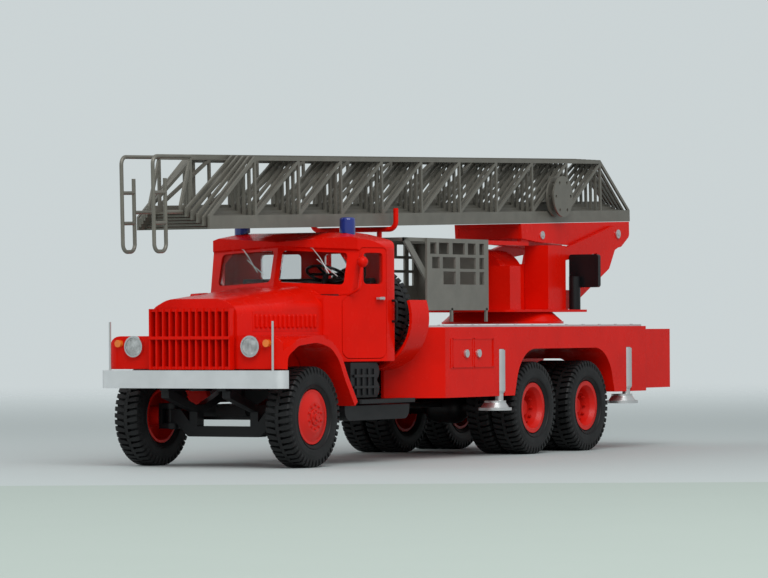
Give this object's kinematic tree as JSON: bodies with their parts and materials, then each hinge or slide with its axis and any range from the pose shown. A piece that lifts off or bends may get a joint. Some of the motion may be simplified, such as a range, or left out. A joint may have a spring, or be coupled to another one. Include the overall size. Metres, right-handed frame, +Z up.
{
  "type": "scale model fire engine",
  "caption": "Scale model of a bonneted six-wheel fire engine whose turntable carries a long telescopic ladder over the cab, with a rescue lift cage beneath it.",
  "frame": {"origin": "centre of the overall box, on the ground plane under the tyres", "axes": "+X to the vehicle's left, +Y to its rear, +Z up; the front faces -Y"},
  "size_m": [0.0692, 0.254, 0.0859],
  "materials": {
    "red_paint": "gloss",
    "red_rim": "gloss",
    "tyre_rubber": "matte",
    "black_chassis": "matte",
    "black_trim": "satin",
    "silver_bumper": "satin",
    "clear_glass": "polished",
    "chrome_trim": "polished",
    "lamp_glass": "polished",
    "orange_lens": "gloss",
    "red_lens": "gloss",
    "blue_beacon": "gloss",
    "silver_metal": "satin",
    "grey_deck": "satin",
    "cage_grey": "satin",
    "ladder_grey": "satin"
  },
  "bodies": {
    "chassis": {"axles": "black_chassis", "beacons": "blue_beacon", "bench_seat": "black_trim", "bonnet": "red_paint", "bumper": "silver_bumper", "cab_doors": "red_paint", "cab_panes": "clear_glass", "cab_shell": "red_paint", "dashboard": "black_trim", "deck_plate": "grey_deck", "drive_line": "black_chassis", "frame_rails": "black_chassis", "front_wings": "red_paint", "grab_handles": "black_chassis", "grille": "red_paint", "headlamp_glasses": "lamp_glass", "headlamp_rims": "chrome_trim", "jacks": "silver_metal", "ladder_rest": "red_paint", "leaf_springs": "black_chassis", "locker_hatches": "red_paint", "locker_knobs": "silver_metal", "marker_rods": "silver_metal", "mirrors": "red_paint", "rear_body": "red_paint", "running_boards": "black_chassis", "side_tanks": "black_chassis", "spare_guard": "red_paint", "spare_rim": "red_rim", "spare_tyre": "tyre_rubber", "steering_wheel": "black_trim", "tail_lamps": "red_lens", "turn_lamps": "orange_lens", "under_cab_boxes": "black_chassis"},
    "left_knuckle": {"front_left_knuckle": "black_chassis"},
    "right_knuckle": {"front_right_knuckle": "black_chassis"},
    "tie_rod_link": {"tie_rod": "black_chassis"},
    "front_left_wheel": {"front_left_tyre": "tyre_rubber", "front_left_rim": "red_rim"},
    "front_right_wheel": {"front_right_tyre": "tyre_rubber", "front_right_rim": "red_rim"},
    "rear_1_left_wheels": {"rear_1_left_tyres": "tyre_rubber", "rear_1_left_rims": "red_rim"},
    "rear_1_right_wheels": {"rear_1_right_tyres": "tyre_rubber", "rear_1_right_rims": "red_rim"},
    "rear_2_left_wheels": {"rear_2_left_tyres": "tyre_rubber", "rear_2_left_rims": "red_rim"},
    "rear_2_right_wheels": {"rear_2_right_tyres": "tyre_rubber", "rear_2_right_rims": "red_rim"},
    "turret": {"turntable": "red_paint", "tower": "red_paint", "operator_seat": "black_trim"},
    "ladder": {"ladder_carrier": "red_paint", "ladder_section_1": "ladder_grey", "lift_cage": "cage_grey"},
    "section_2": {"ladder_section_2": "ladder_grey"},
    "section_3": {"ladder_section_3": "ladder_grey"},
    "section_4": {"ladder_section_4": "ladder_grey"},
    "section_5": {"ladder_section_5": "ladder_grey"},
    "section_6": {"ladder_section_6": "ladder_grey"}
  },
  "joints": [
    {"name": "left_steer", "type": "hinge", "parent": "chassis", "child": "left_knuckle", "pos_m": [0.017, -0.08496, 0.013], "axis": [0, 0, 1], "range_deg": [-30, 30]},
    {"name": "right_steer", "type": "hinge", "parent": "chassis", "child": "right_knuckle", "pos_m": [-0.017, -0.08496, 0.013], "axis": [0, 0, 1], "range_deg": [-30, 30]},
    {"name": "tie_rod_turn", "type": "hinge", "parent": "left_knuckle", "child": "tie_rod_link", "pos_m": [0.017, -0.07976, 0.0124], "axis": [0, 0, 1], "range_deg": [-30, 30]},
    {"name": "front_left_wheel_roll", "type": "hinge", "parent": "left_knuckle", "child": "front_left_wheel", "pos_m": [0.023, -0.08496, 0.013], "axis": [1, 0, 0], "continuous": true},
    {"name": "front_right_wheel_roll", "type": "hinge", "parent": "right_knuckle", "child": "front_right_wheel", "pos_m": [-0.023, -0.08496, 0.013], "axis": [1, 0, 0], "continuous": true},
    {"name": "rear_1_left_roll", "type": "hinge", "parent": "chassis", "child": "rear_1_left_wheels", "pos_m": [0.0206, 0.03244, 0.013], "axis": [1, 0, 0], "continuous": true},
    {"name": "rear_1_right_roll", "type": "hinge", "parent": "chassis", "child": "rear_1_right_wheels", "pos_m": [-0.0206, 0.03244, 0.013], "axis": [1, 0, 0], "continuous": true},
    {"name": "rear_2_left_roll", "type": "hinge", "parent": "chassis", "child": "rear_2_left_wheels", "pos_m": [0.0206, 0.06504, 0.013], "axis": [1, 0, 0], "continuous": true},
    {"name": "rear_2_right_roll", "type": "hinge", "parent": "chassis", "child": "rear_2_right_wheels", "pos_m": [-0.0206, 0.06504, 0.013], "axis": [1, 0, 0], "continuous": true},
    {"name": "slew", "type": "hinge", "parent": "chassis", "child": "turret", "pos_m": [0, 0.06574, 0.0366], "axis": [0, 0, 1], "continuous": true},
    {"name": "elevation", "type": "hinge", "parent": "turret", "child": "ladder", "pos_m": [0, 0.11554, 0.0635], "axis": [-1, 0, 0], "range_deg": [0, 75]},
    {"name": "slide_2", "type": "slide", "parent": "ladder", "child": "section_2", "axis": [0, -0.9996, -0.0279], "range_m": [0, 0.19]},
    {"name": "slide_3", "type": "slide", "parent": "section_2", "child": "section_3", "axis": [0, -0.9996, -0.0279], "range_m": [0, 0.19]},
    {"name": "slide_4", "type": "slide", "parent": "section_3", "child": "section_4", "axis": [0, -0.9996, -0.0279], "range_m": [0, 0.19]},
    {"name": "slide_5", "type": "slide", "parent": "section_4", "child": "section_5", "axis": [0, -0.9996, -0.0279], "range_m": [0, 0.19]},
    {"name": "slide_6", "type": "slide", "parent": "section_5", "child": "section_6", "axis": [0, -0.9996, -0.0279], "range_m": [0, 0.19]}
  ],
  "couplings": [
    {"joint": "right_steer", "follows": "left_steer", "ratio": 1},
    {"joint": "tie_rod_turn", "follows": "left_steer", "ratio": -1}
  ]
}
